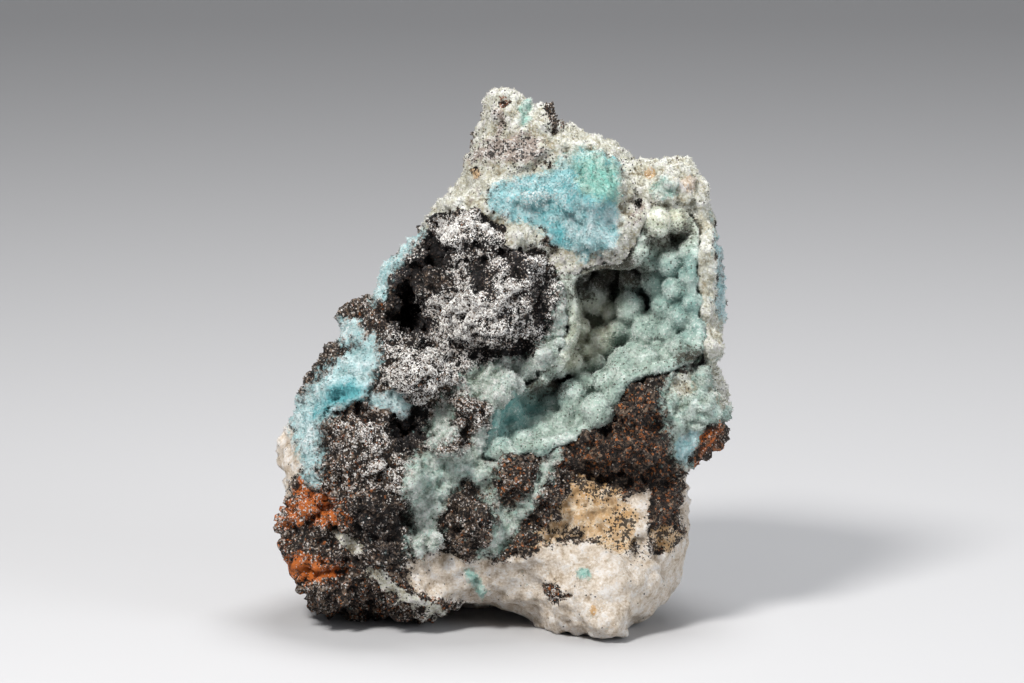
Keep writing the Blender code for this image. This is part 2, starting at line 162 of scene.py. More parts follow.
# Every patch of the face, each painted over those before it: its coat, how deep the coat's colour is, how
# much of it white grains and black grains cover, and its outline. Bare gossan has the coat None, and its
# second value is how dark it is.
PATCHES = {
    "gossan of the foot": (None, 0.15, 0.21, 0.28, [(280, 560), (330, 560), (380, 560), (420, 565),
        (450, 590), (450, 640), (270, 640)]),
    "calcite foot": ("calcite", 0.1, 0.05, 0.01, [(400, 570), (413, 558), (440, 552), (490, 556),
        (528, 546), (551, 538), (597, 535), (643, 554), (681, 535), (700, 520), (700, 600), (640, 670),
        (560, 650), (450, 600), (425, 588)]),
    "calcite right edge": ("calcite", 0.0, 0.1, 0.0, [(677, 466), (700, 455), (700, 560), (680, 560),
        (676, 500)]),
    "calcite left edge": ("calcite", 0.2, 0.05, 0.02, [(270, 420), (289, 422), (294, 431), (308, 460),
        (305, 476), (294, 484), (290, 503), (270, 500)]),
    "sandy slope": ("sand", 0.4, 0.03, 0.04, [(556, 500), (566, 480), (582, 472), (604, 477), (627, 490),
        (648, 488), (648, 512), (636, 535), (618, 546), (600, 538), (580, 530), (560, 532), (540, 542),
        (524, 550), (536, 528), (546, 512)]),
    "dark top of the sand": ("sand", 0.5, 0.05, 0.5, [(566, 476), (604, 474), (630, 490), (606, 500),
        (575, 494)]),
    "dark edge of the sand": ("sand", 0.5, 0.05, 0.5, [(612, 506), (640, 508), (640, 528), (622, 546),
        (606, 532)]),
    "white wedge": ("calcite", 0.0, 0.05, 0.0, [(618, 498), (650, 480), (654, 488), (647, 515), (650, 535),
        (642, 548), (634, 530), (637, 508)]),
    "gossan block": (None, 0.0, 0.02, 0.25, [(616, 385), (635, 380), (658, 393), (666, 416), (675, 443),
        (672, 473), (680, 489), (676, 519), (684, 531), (662, 546), (652, 522), (654, 485), (627, 492),
        (604, 477), (574, 469), (572, 439), (604, 431), (612, 416)]),
    "sand under the block": ("sand", 0.6, 0.05, 0.45, [(650, 530), (666, 522), (680, 534), (672, 550),
        (654, 548)]),
    "brown lumps": (None, 0.1, 0.2, 0.28, [(486, 456), (528, 452), (552, 446), (576, 462), (568, 485),
        (543, 519), (530, 543), (505, 556), (490, 556), (497, 520)]),
    "salt and pepper druse": (None, 0.6, 0.54, 0.27, [(434, 225), (459, 215), (490, 223), (509, 240),
        (528, 244), (551, 255), (564, 278), (562, 305), (551, 336), (528, 359), (505, 361), (474, 368),
        (459, 385), (451, 401), (436, 404), (428, 420), (413, 404), (386, 404), (377, 359), (386, 336),
        (384, 309), (384, 274), (405, 259), (425, 240)]),
    "pale druse": (None, 0.5, 0.6, 0.25, [(455, 270), (500, 268), (508, 300), (498, 345), (470, 350),
        (430, 352), (430, 330), (445, 300)]),
    "dark druse": (None, 0.8, 0.52, 0.28, [(505, 285), (530, 268), (548, 285), (552, 310), (546, 335),
        (530, 356), (505, 352), (498, 330)]),
    "dark druse left": (None, 0.8, 0.42, 0.32, [(432, 226), (455, 218), (495, 226), (500, 245), (480, 262),
        (455, 262), (448, 240)]),
    "pale ridge": (None, 0.2, 0.76, 0.12, [(432, 304), (468, 298), (497, 284), (520, 276), (530, 284),
        (502, 304), (472, 322), (440, 334)]),
    "pale edge of the druse": (None, 0.3, 0.7, 0.15, [(434, 217), (458, 214), (462, 232), (446, 240),
        (434, 232)]),
    "upper pit": (None, 1.0, 0.05, 0.3, [(426, 234), (442, 238), (452, 253), (449, 277), (430, 275),
        (402, 279), (399, 265), (415, 262), (425, 256)]),
    "floor of the upper pit": (None, 0.4, 0.08, 0.3, [(404, 278), (430, 274), (455, 278), (450, 290),
        (425, 292), (405, 288)]),
    "left pit": (None, 1.0, 0.0, 0.3, [(398, 282), (414, 286), (421, 302), (428, 315), (432, 328),
        (424, 338), (410, 336), (398, 328), (388, 315), (385, 300), (388, 288)]),
    "dark left of the pits": (None, 0.5, 0.1, 0.3, [(382, 266), (398, 262), (400, 282), (390, 330),
        (380, 316)]),
    "middle pit": (None, 1.0, 0.15, 0.3, [(469, 261), (486, 258), (495, 275), (491, 301), (477, 298),
        (467, 280)]),
    "right pit": (None, 1.0, 0.17, 0.3, [(498, 252), (520, 250), (530, 268), (524, 284), (508, 274)]),
    "dark right": (None, 1.0, 0.2, 0.3, [(524, 288), (540, 282), (549, 305), (542, 324), (528, 318)]),
    "dark below": (None, 1.0, 0.26, 0.3, [(468, 342), (500, 337), (540, 340), (535, 360), (505, 363),
        (474, 360)]),
    "brown knob": (None, 0.2, 0.3, 0.26, [(350, 318), (368, 303), (384, 303), (386, 322), (372, 336),
        (352, 336)]),
    "druse step": (None, 0.3, 0.52, 0.22, [(379, 362), (400, 358), (440, 360), (455, 372), (450, 400),
        (425, 405), (395, 395), (378, 385)]),
    "brown dome": (None, 0.2, 0.33, 0.2, [(325, 447), (337, 420), (356, 401), (382, 397), (413, 412),
        (425, 427), (428, 447), (417, 462), (407, 485), (413, 512), (409, 542), (413, 569), (394, 569),
        (375, 558), (360, 538), (344, 512), (325, 489), (315, 473)]),
    "dome druse": (None, 0.25, 0.42, 0.18, [(372, 420), (390, 440), (410, 455), (412, 470), (400, 492),
        (380, 492), (372, 470), (362, 440)]),
    "dark of the dome": (None, 0.5, 0.18, 0.32, [(345, 500), (375, 492), (404, 500), (412, 520), (408, 545),
        (412, 566), (392, 566), (368, 545)]),
    "black pit": (None, 1.0, 0.0, 0.3, [(386, 407), (425, 411), (429, 427), (414, 451), (394, 445)]),
    "rust": ("rust", 0.5, 0.26, 0.24, [(298, 473), (310, 477), (329, 489), (346, 510), (352, 535),
        (362, 556), (340, 580), (317, 586), (285, 578), (280, 538), (275, 519), (285, 498)]),
    "bright rust upper": ("rust", 0.7, 0.2, 0.26, [(300, 478), (322, 490), (345, 508), (348, 522),
        (322, 518), (300, 508)]),
    "dark under the rust": (None, 0.2, 0.24, 0.3, [(292, 524), (318, 528), (346, 534), (362, 556),
        (350, 562), (318, 552), (290, 548)]),
    "bright rust lower": ("rust", 0.95, 0.06, 0.1, [(288, 556), (312, 562), (338, 572), (318, 580),
        (292, 574)]),
    "pale streak of the rust": ("cream", 0.1, 0.4, 0.1, [(334, 531), (350, 533), (364, 550), (354, 552),
        (344, 542)]),
    "mint vein": ("mint", 0.02, 0.46, 0.04, [(474, 366), (505, 362), (508, 393), (492, 416), (486, 443),
        (474, 458), (453, 466), (442, 481), (453, 488), (446, 512), (442, 553), (411, 556), (413, 512),
        (409, 485), (417, 466), (430, 447), (430, 424), (438, 404), (453, 399)]),
    "mint between the lumps": ("mint", 0.1, 0.3, 0.08, [(468, 474), (486, 476), (497, 496), (510, 512),
        (520, 500), (534, 486), (541, 466), (552, 444), (562, 452), (550, 472), (541, 492), (527, 512),
        (514, 532), (498, 552), (474, 556), (492, 524)]),
    "brown flecks upper": (None, 0.15, 0.34, 0.24, [(455, 397), (474, 392), (489, 401), (487, 420),
        (467, 432), (450, 424)]),
    "brown flecks lower": (None, 0.15, 0.34, 0.24, [(436, 447), (471, 427), (474, 447), (453, 462),
        (438, 462)]),
    "mint over the triangle": ("mint", 0.15, 0.25, 0.03, [(412, 462), (440, 452), (480, 456), (502, 462),
        (490, 477), (470, 478), (452, 492), (440, 508), (425, 500), (410, 485)]),
    "dark triangle": (None, 0.25, 0.22, 0.3, [(469, 481), (490, 500), (498, 519), (486, 542), (467, 554),
        (444, 548), (443, 519), (451, 500)]),
    "rim of the hollow": ("mint", 0.0, 0.35, 0.1, [(528, 357), (548, 336), (558, 305), (558, 270),
        (572, 270), (575, 312), (566, 346), (552, 370), (528, 384), (512, 398), (500, 420), (490, 440),
        (478, 460), (470, 456), (488, 424), (502, 392), (506, 362)]),
    "blue band": ("blue", 0.12, 0.1, 0.01, [(375, 334), (380, 362), (371, 389), (356, 401), (337, 408),
        (321, 427), (317, 483), (304, 473), (292, 427), (285, 415), (304, 396), (325, 375), (340, 358),
        (359, 342)]),
    "blue recess": ("blue", 1.0, 0.0, 0.0, [(333, 386), (352, 380), (368, 388), (362, 400), (337, 405),
        (320, 416), (310, 418)]),
    "blue tongue": ("blue", 0.0, 0.25, 0.02, [(371, 395), (394, 391), (418, 404), (409, 411), (375, 409)]),
    "blue edge of the druse": ("blue", 0.25, 0.25, 0.03, [(372, 259), (413, 236), (428, 228), (414, 250),
        (394, 266), (386, 300), (374, 305)]),
    "pale blue on the knob": ("blue", 0.1, 0.35, 0.05, [(338, 322), (360, 319), (364, 334), (346, 342),
        (338, 340)]),
    "cream peak": ("cream", 0.0, 0.3, 0.03, [(478, 75), (520, 75), (560, 100), (575, 128), (560, 142),
        (520, 146), (497, 142), (466, 165), (478, 130)]),
    "foot of the peak": ("cream", 0.45, 0.2, 0.16, [(484, 150), (492, 136), (520, 130), (548, 136),
        (566, 142), (540, 150), (500, 158)]),
    "green of the peak": ("mint", 0.45, 0.15, 0.03, spot(524, 116, 7, 13)),
    "brown spot of the peak": ("rust", 0.1, 0.1, 0.3, spot(504, 105, 8, 7)),
    "specks of the peak": ("cream", 0.7, 0.3, 0.4, [(494, 112), (504, 112), (506, 128), (500, 138),
        (493, 130)]),
    "ochre of the peak": ("sand", 0.6, 0.05, 0.15, spot(508, 143, 11, 4)),
    "black of the peak": (None, 0.3, 0.25, 0.3, [(543, 106), (552, 106), (560, 118), (568, 130), (560, 138),
        (548, 134), (544, 122)]),
    "speckled lens": ("cream", 0.75, 0.3, 0.34, [(466, 160), (478, 146), (497, 141), (528, 138), (559, 149),
        (551, 162), (528, 170), (505, 166), (472, 167)]),
    "cream crest": ("cream", 0.2, 0.2, 0.02, [(545, 138), (583, 124), (615, 130), (632, 155), (606, 160),
        (585, 156), (566, 161), (548, 153)]),
    "cream band": ("cream", 0.3, 0.15, 0.02, [(455, 168), (486, 166), (509, 170), (528, 172), (548, 168),
        (566, 160), (545, 178), (528, 183), (505, 186), (490, 194), (490, 209), (505, 217), (528, 223),
        (545, 228), (540, 248), (513, 250), (500, 230), (480, 218), (459, 211), (440, 222), (424, 226),
        (424, 200), (446, 192)]),
    "ochre of the band": ("sand", 0.3, 0.05, 0.3, spot(476, 175, 3, 6)),
    "grey-green over the dome": ("mint", 0.1, 0.25, 0.14, [(540, 178), (556, 162), (575, 150), (592, 150),
        (600, 160), (576, 170), (560, 180), (530, 188), (500, 192), (500, 184)]),
    "yellow crust": ("cream", 0.3, 0.3, 0.03, spot(517, 231, 9, 13)),
    "turquoise dome": ("blue", 0.4, 0.08, 0.0, [(490, 192), (505, 184), (528, 181), (545, 175), (566, 161),
        (585, 156), (604, 159), (622, 165), (627, 186), (626, 209), (622, 228), (629, 244), (604, 259),
        (589, 272), (574, 267), (562, 257), (551, 242), (545, 228), (528, 223), (505, 217), (490, 209)]),
    "deep turquoise": ("blue", 0.56, 0.12, 0.0, [(494, 195), (520, 186), (545, 183), (572, 178), (576, 200),
        (566, 216), (545, 222), (512, 214)]),
    "sugar of the dome": ("blue", 0.46, 0.42, 0.0, [(508, 194), (526, 188), (552, 188), (562, 204),
        (540, 213), (514, 208)]),
    "green of the dome": ("mint", 0.72, 0.05, 0.0, [(572, 168), (590, 162), (616, 168), (624, 188),
        (618, 205), (596, 204), (578, 192)]),
    "pale of the dome": ("blue", 0.3, 0.12, 0.01, [(572, 222), (600, 212), (620, 222), (620, 240),
        (600, 258), (582, 262), (568, 244)]),
    "turquoise recess": ("blue", 0.75, 0.05, 0.0, [(548, 225), (560, 227), (573, 240), (566, 250),
        (552, 243)]),
    "crust of the lip": ("cream", 0.25, 0.4, 0.05, [(545, 250), (566, 252), (575, 262), (600, 256),
        (625, 240), (634, 244), (612, 268), (592, 278), (568, 276), (552, 264)]),
    "cream corner": ("cream", 0.2, 0.2, 0.01, [(624, 160), (640, 158), (660, 158), (694, 152), (715, 180),
        (712, 206), (700, 214), (664, 212), (642, 210), (630, 222), (622, 228), (627, 209), (628, 186)]),
    "blue of the corner": ("mint", 0.15, 0.18, 0.0, spot(664, 192, 15, 12)),
    "yellow of the corner": ("sand", 0.0, 0.25, 0.02, spot(648, 173, 6, 5)),
    "pink of the corner": ("calcite", 0.5, 0.2, 0.08, spot(689, 186, 9, 9)),
    "crust round the hollow": ("cream", 0.2, 0.25, 0.05, [(626, 190), (650, 200), (690, 204), (708, 204),
        (704, 232), (690, 236), (650, 232), (640, 262), (622, 262), (620, 236)]),
    "tan of the corner": ("cream", 0.5, 0.15, 0.2, [(626, 206), (632, 196), (644, 204), (640, 226),
        (630, 224)]),
    "black of the corner": (None, 0.8, 0.1, 0.3, [(636, 199), (642, 198), (640, 210), (635, 213)]),
    "pale under the crack": (None, 0.2, 0.8, 0.06, [(434, 222), (452, 217), (470, 217), (490, 223),
        (505, 232), (500, 239), (484, 232), (466, 226), (452, 228), (448, 240), (436, 236)]),
    "crack over the druse": (None, 1.0, 0.0, 0.3, CRACK),
    "cream rim": ("cream", 0.1, 0.08, 0.005, [(696, 209), (712, 209), (714, 244), (716, 274), (714, 305),
        (712, 328), (714, 359), (704, 357), (698, 320), (694, 290), (692, 259), (694, 228)]),
    "sill of the rim": ("cream", 0.0, 0.25, 0.03, [(700, 318), (735, 310), (735, 362), (700, 364),
        (694, 344)]),
    "blue outside the rim": ("blue", 0.1, 0.2, 0.0, [(713, 205), (730, 215), (735, 300), (722, 330),
        (714, 305), (716, 274), (714, 244)]),
    "right cheek": ("mint", 0.15, 0.08, 0.14, [(664, 378), (690, 366), (712, 362), (735, 374), (735, 412),
        (716, 428), (698, 460), (677, 464), (671, 443), (660, 404)]),
    "yellow of the cheek": ("cream", 0.1, 0.1, 0.14, spot(682, 386, 12, 12)),
    "cream edge of the cheek": ("cream", 0.2, 0.25, 0.03, [(712, 362), (735, 368), (735, 405), (716, 408),
        (711, 385)]),
    "blue of the cheek": ("blue", 0.2, 0.15, 0.0, [(676, 445), (692, 428), (700, 436), (692, 458),
        (678, 462)]),
    "rust of the cheek": ("rust", 0.4, 0.1, 0.35, [(702, 428), (722, 420), (722, 440), (702, 462),
        (690, 460)]),
    "tan of the foot": ("calcite", 0.15, 0.05, 0.04, [(410, 560), (445, 556), (470, 572), (450, 590),
        (424, 584)]),
    "pale streak": ("cream", 0.2, 0.35, 0.15, [(366, 566), (388, 572), (406, 590), (432, 600), (448, 608),
        (436, 614), (410, 603), (390, 589), (368, 574)]),
    "teal streak": ("mint", 0.5, 0.1, 0.0, [(464, 566), (474, 568), (490, 590), (482, 597), (470, 582)]),
    "green of the foot": ("mint", 0.6, 0.1, 0.05, spot(583, 571, 8, 6)),
    "brown stain of the foot": (None, 0.1, 0.3, 0.1, [(540, 582), (556, 580), (566, 596), (554, 602),
        (542, 594)]),
    "orange of the foot": ("sand", 0.7, 0.1, 0.05, spot(592, 607, 4, 6)),
}

# How far each coat's surface stands out and falls back, in millimetres: for broad domes, small domes,
# lumps and grit.
RELIEF = {
    None: (0.35, 0.3, 1.35, 1.0),
    "sand": (0.3, 0.15, 0.4, 0.3),
    "calcite": (0.25, 0.05, 0.45, 0.14),
    "cream": (0.45, 0.35, 0.6, 0.38),
    "mint": (0.5, 0.8, 0.45, 0.35),
    "blue": (0.4, 0.25, 0.28, 0.22),
    "rust": (0.2, 0.25, 1.4, 1.05),
}
BROAD_DOME, SMALL_DOME, LUMP, GRIT = 3.0 * MM, 1.5 * MM, 2.1 * MM, 0.95 * MM
RELIEF_MIDDLE = 0.42
CALM_SIZE = 6 * MM
MOST_RELIEF = 1.1 * MM
EDGE_WIDTH = 24
# Rust and sand lie thinly on the gossan, which shows between them.
FILL = {"rust": 0.66, "sand": 0.85}
# The most that sharpening moves the surface, in millimetres.
MOST_INWARD, MOST_OUTWARD = 0.9, 0.5
# Behind WANDER_FROM the patches wander, by up to WANDER pixels once they lie WANDER_OVER further back. Both
# are depths in millimetres.
WANDER_FROM = -1
WANDER_OVER = 14
WANDER = 70
WANDER_SIZE = 13 * MM


def merged_copy(node, name):
    """A copy of a node with its triangles joined up."""
    mesh = bmesh.new()
    mesh.from_mesh(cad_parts[node].data)
    bmesh.ops.remove_doubles(mesh, verts=mesh.verts, dist=0.001 * MM)
    data = bpy.data.meshes.new(name)
    mesh.to_mesh(data)
    mesh.free()
    return new_object(name, data)


def settle(made):
    """Replaces the object's mesh with what its modifiers make of it."""
    graph = bpy.context.evaluated_depsgraph_get()
    data = bpy.data.meshes.new_from_object(made.evaluated_get(graph))
    made.modifiers.clear()
    made.data = data
    return made


def smoothed(made, rounds):
    smooth = made.modifiers.new("smooth", "SMOOTH")
    smooth.factor = 0.5
    smooth.iterations = rounds
    return settle(made)


def melt_together(made, grain, rounds):
    """One closed skin round all the shapes that overlap in the object, then smoothed."""
    skin = made.modifiers.new("skin", "REMESH")
    skin.mode = "VOXEL"
    skin.voxel_size = grain
    return smoothed(made, rounds)


def vectors_of(items, name):
    flat = np.empty(len(items) * 3, np.float32)
    items.foreach_get(name, flat)
    return flat.reshape(-1, 3).astype(float)


def points_of(made):
    return vectors_of(made.data.vertices, "co")


def normals_of(made):
    return vectors_of(made.data.vertex_normals, "vector")


def move_to(made, points):
    """Puts the object's points there."""
    made.data.vertices.foreach_set("co", points.astype(np.float32).ravel())


def store(data, name, values):
    layer = data.attributes.new(name, "FLOAT", "POINT")
    layer.data.foreach_set("value", values.astype(np.float32))


def seen(points):
    """Where the front view shows each point: x and y in pixels and the depth in millimetres."""
    right = points[:, 0] - SHIFT_RIGHT
    back = points[:, 1] - SHIFT_BACK
    high = points[:, 2] + FOOT_CUT
    up = high * math.cos(VIEW_TILT) + back * math.sin(VIEW_TILT)
    out = high * math.sin(VIEW_TILT) - back * math.cos(VIEW_TILT)
    return MIDDLE_X + right / PIXEL, FOOT_Y - up / PIXEL, out / MM


def inside(outline, x, y, width):
    """1 inside the outline and 0 outside it, through a half on its edge."""
    distance = np.full(x.shape, 1e9)
    odd = np.zeros(x.shape, bool)
    for (x0, y0), (x1, y1) in zip(outline, outline[1:] + outline[:1]):
        across, down = x1 - x0, y1 - y0
        along = np.clip(((x - x0) * across + (y - y0) * down) / (across ** 2 + down ** 2), 0, 1)
        distance = np.minimum(distance, np.hypot(x - x0 - along * across, y - y0 - along * down))
        if down:
            odd ^= ((y0 > y) != (y1 > y)) & (x < x0 + (y - y0) / down * across)
    return np.clip(0.5 + np.where(odd, distance, -distance) / width, 0, 1)


def edge_width(outline):
    """How softly a patch ends, in pixels: a small or narrow one ends more sharply."""
    sides = list(zip(outline, outline[1:] + outline[:1]))
    area = abs(sum(x0 * y1 - x1 * y0 for (x0, y0), (x1, y1) in sides)) / 2
    length = sum(math.dist(*side) for side in sides)
    return min(EDGE_WIDTH, 2 * area / length)


def noise_at(points, size, seed=0):
    offset = Vector((seed * 17.3, seed * -9.1, seed * 5.7))
    return np.array([noise.noise(Vector(point) / size + offset) for point in points])


def domes_at(points, size):
    """Round-topped cells: 1 at the top of each, falling to sharp creases between them."""
    nearest = np.array([noise.voronoi(Vector(point) / size)[0][0] for point in points])
    return 1 - 1.6 * nearest ** 2


def coats_of(points):
    """The patches' coats and grain densities at each point. They wander further from the face's outlines
    the further back on the stone they lie."""
    x, y, depth = seen(points)
    behind = np.clip((WANDER_FROM - depth) / WANDER_OVER, 0, 1)
    x = x + behind * WANDER * noise_at(points, WANDER_SIZE, 1)
    y = y + behind * WANDER * noise_at(points, WANDER_SIZE, 2)
    values = {name: np.zeros(len(points)) for name in COATS}
    values |= {name: np.full(len(points), value) for name, value in OUTSIDE_PATCHES.items()}
    for coat, deep, frost, pepper, outline in PATCHES.values():
        weight = inside(outline, x, y, edge_width(outline))
        targets = {name: FILL.get(name, 1) if name == coat else 0 for name in COATS}
        targets |= {"dark" if coat is None else "deep": deep, "frost": frost, "pepper": pepper}
        for name, target in targets.items():
            values[name] += (target - values[name]) * weight
    return values


# The lower edge of the dome's lip is carried up, so that the hollow opens further under it: the middle of
# the change, its reach across and down, and how far up it goes, in pixels. Nothing moves behind LIP_BACK.
LIP_X, LIP_Y, LIP_REACH_X, LIP_REACH_Y, LIP_RISE = 602, 285, 34, 18, 15
LIP_BACK = -12
# Dark holes pressed further back, or filled out where the number is negative: millimetres and outline.
# Their edges are DENT_EDGE pixels wide, and nothing behind DENT_BACK moves.
DENTS = {
    "upper pit": (2.4, [(428, 236), (442, 240), (451, 254), (448, 275), (432, 274), (428, 256)]),
    "arm of the upper pit": (1.2, [(402, 266), (430, 262), (432, 276), (404, 280)]),
    "left pit": (1.8, [(394, 284), (412, 288), (420, 303), (427, 318), (426, 332), (410, 332), (394, 318),
        (388, 300)]),
    "middle pit": (1.4, [(471, 263), (486, 261), (493, 275), (490, 298), (478, 296), (469, 280)]),
    "right pit": (1.2, [(500, 254), (520, 254), (528, 268), (522, 282), (508, 272)]),
    "dark right": (0.9, [(526, 290), (540, 284), (547, 305), (541, 322), (530, 316)]),
    "dark below": (0.8, [(471, 344), (500, 341), (538, 343), (532, 357), (505, 360), (476, 357)]),
    "crack over the druse": (0.5, CRACK),
    "blue recess": (-2.2, [(326, 384), (346, 378), (370, 384), (368, 402), (340, 408), (322, 412)]),
    "mint vein": (-0.9, [(414, 470), (440, 470), (446, 492), (444, 520), (442, 552), (414, 554),
        (414, 512)]),
    "black pit": (1.6, [(388, 410), (422, 412), (425, 428), (412, 448), (394, 442)]),
    "slot of the cheek": (1.2, [(672, 358), (704, 354), (706, 366), (690, 372), (674, 368)]),
}
DENT_EDGE = 10
DENT_BACK = -10


def carried(made):
    """The object with the lip raised."""
    points = points_of(made)
    x, y, depth = seen(points)
    nearness = np.exp(-((x - LIP_X) / LIP_REACH_X) ** 2 - ((y - LIP_Y) / LIP_REACH_Y) ** 2)
    nearness = nearness * np.clip((depth - LIP_BACK) / 5, 0, 1)
    points[:, 1] += LIP_RISE * PIXEL * nearness * math.sin(VIEW_TILT)
    points[:, 2] += LIP_RISE * PIXEL * nearness * math.cos(VIEW_TILT)
    move_to(made, points)
    return made


def dented(made):
    """The object with the dents pressed into the surface that the front view shows."""
    points = points_of(made)
    x, y, depth = seen(points)
    shown = np.clip(normals_of(made) @ np.array(OUT) * 3, 0, 1) * (depth > DENT_BACK)
    back = np.zeros(len(points))
    for millimetres, outline in DENTS.values():
        back += inside(outline, x, y, DENT_EDGE) * millimetres
    points -= (back * shown * MM)[:, None] * np.array(OUT)[None, :]
    move_to(made, points)
    return made


def add_relief(made, values):
    """Moves the surface out and in by its coats' relief."""
    points = points_of(made)
    normals = normals_of(made)
    fields = (
        domes_at(points, BROAD_DOME), domes_at(points, SMALL_DOME),
        noise_at(points, LUMP), noise_at(points, GRIT),
    )
    bare = np.clip(1 - sum(values[name] for name in COATS), 0, 1)
    height = np.zeros(len(points))
    for coat, heights in RELIEF.items():
        # Where white grains lie thick the gossan is calmer.
        weight = bare * (1.2 - 0.8 * values["frost"]) if coat is None else values[coat]
        height += weight * sum(field * high for field, high in zip(fields, heights))
    height *= 0.5 + np.clip(0.5 + noise_at(points, CALM_SIZE, 5), 0, 1)
    height = np.clip((height - RELIEF_MIDDLE) * MM, -2 * MOST_RELIEF, MOST_RELIEF)
    points += normals * height[:, None]
    points[:, 2] = np.maximum(points[:, 2], 0)
    move_to(made, points)


def sharpen(made, rounds, amount):
    """Carries ridges out and hollows in, by a part of how far they stand from their surroundings."""
    points = points_of(made)
    step = np.clip(hollowness(made, rounds) * amount, -MOST_OUTWARD, MOST_INWARD)
    points -= normals_of(made) * step[:, None] * MM
    points[:, 2] = np.maximum(points[:, 2], 0)
    move_to(made, points)


def hollowness(made, rounds):
    """How far each point lies below its surroundings, in millimetres. It is negative on a ridge."""
    worn = smoothed(new_object("worn", made.data.copy()), rounds)
    below = ((points_of(worn) - points_of(made)) * normals_of(made)).sum(axis=1)
    bpy.data.objects.remove(worn)
    return below / MM


# Fewer crystals grow on the back, and none near the table. White ones need more frost than LEAST_FROST.
CRYSTALS_BACK, CRYSTALS_OVER, FEWEST_CRYSTALS = -14, 16, 0.35
CLEAR_OF_TABLE = 0.9 * MM
LEAST_FROST = 0.36

rock = dented(carried(melt_together(merged_copy("matrix", "rock"), ROCK_GRAIN, 3)))
rock_values = coats_of(points_of(rock))
add_relief(rock, rock_values)
sharpen(rock, 12, 0.5)
hollow = hollowness(rock, 16)
ridge = np.clip(0.5 - hollow / 0.5, 0, 1)
bare = np.clip(1 - sum(rock_values[name] for name in COATS), 0, 1)
rock_points = points_of(rock)
facing = np.clip((seen(rock_points)[2] - CRYSTALS_BACK) / CRYSTALS_OVER, FEWEST_CRYSTALS, 1)
facing = facing * (rock_points[:, 2] > CLEAR_OF_TABLE)
# White grains lie thicker on ridges and thinner in hollows: partly the druse's own frost, partly a painted
# highlight along the ridges.
rock_values["frost"] = np.clip(rock_values["frost"] * (0.5 + 0.85 * ridge), 0, 1)
rock_values["hollow"] = hollow
frosted = np.clip(rock_values["frost"] - LEAST_FROST, 0, 1)
rock_values["white crystals"] = frosted * facing * (0.3 + 0.7 * bare)
rock_values["dark crystals"] = rock_values["pepper"] * facing * bare
rock_values["coat crystals"] = facing * np.clip(
    rock_values["mint"] + rock_values["blue"] + 0.7 * rock_values["cream"], 0, 1)
# A coat's share is kept against the coats below it alone, so that no gossan shows along their borders.
below = bare
for name in COATS:
    below = below + rock_values[name]
    rock_values[name] = rock_values[name] / np.maximum(below, 0.02)
for name, values in rock_values.items():
    store(rock.data, name, values)
rock.data.shade_smooth()


def put(tree, kind, settings=None, **inputs):
    """Adds a node, sets its options, and fills or links its inputs by name. A kind without its family's
    name is a shader node."""
    node = tree.nodes.new(kind if "Node" in kind else "ShaderNode" + kind)
    for name, value in (settings or {}).items():
        setattr(node, name, value)
    for name, value in inputs.items():
        fill(tree, node.inputs[name.replace("_", " ")], value)
    return node


def fill(tree, socket, value):
    """Links the socket to another or gives it a value. A colour is its red, green and blue."""
    if isinstance(value, bpy.types.NodeSocket):
        tree.links.new(value, socket)
    else:
        socket.default_value = (*value, 1.0) if socket.type == "RGBA" else value


def sum_of(tree, operation, first, second=0.0, third=0.0):
    node = put(tree, "Math", {"operation": operation})
    for socket, value in zip(node.inputs, (first, second, third)):
        fill(tree, socket, value)
    return node.outputs[0]


def times(tree, first, second):
    return sum_of(tree, "MULTIPLY", first, second)


def plus(tree, first, second):
    return sum_of(tree, "ADD", first, second)


def line(tree, value, slope, rise):
    return sum_of(tree, "MULTIPLY_ADD", value, slope, rise)


def noise_map(tree, where, scale, detail, roughness):
    node = put(tree, "TexNoise", Vector=where, Scale=scale, Detail=detail, Roughness=roughness)
    return node.outputs["Fac"]


def blend(tree, amount, under, over, kind="MIX"):
    node = put(tree, "Mix", {"data_type": "RGBA", "blend_type": kind}, Factor=amount, A=under, B=over)
    return node.outputs["Result"]


def spread(tree, value, low, high, to_low=0.0, to_high=1.0):
    """The value's range from low to high, stretched to another range."""
    node = put(
        tree, "MapRange", Value=value, From_Min=low, From_Max=high, To_Min=to_low, To_Max=to_high)
    return node.outputs["Result"]


def new_group(name, inputs, outputs, family="ShaderNodeTree"):
    """An empty node group with its sockets. Each is a name and a kind, such as Float or Color."""
    tree = bpy.data.node_groups.new(name, family)
    for socket, kind in inputs.items():
        tree.interface.new_socket(socket, in_out="INPUT", socket_type="NodeSocket" + kind)
    for socket, kind in outputs.items():
        tree.interface.new_socket(socket, in_out="OUTPUT", socket_type="NodeSocket" + kind)
    start = tree.nodes.new("NodeGroupInput").outputs
    end = tree.nodes.new("NodeGroupOutput").inputs
    return tree, start, end


def mottle_group():
    """A colour between three tones: dark where Value is 0.34, and light where it is 0.66."""
    sockets = {"Value": "Float", "Dark": "Color", "Middle": "Color", "Light": "Color"}
    tree, start, end = new_group("mottle", sockets, {"Color": "Color"})
    lower = blend(tree, spread(tree, start["Value"], 0.34, 0.5), start["Dark"], start["Middle"])
    whole = blend(tree, spread(tree, start["Value"], 0.5, 0.66), lower, start["Light"])
    tree.links.new(whole, end["Color"])
    return tree


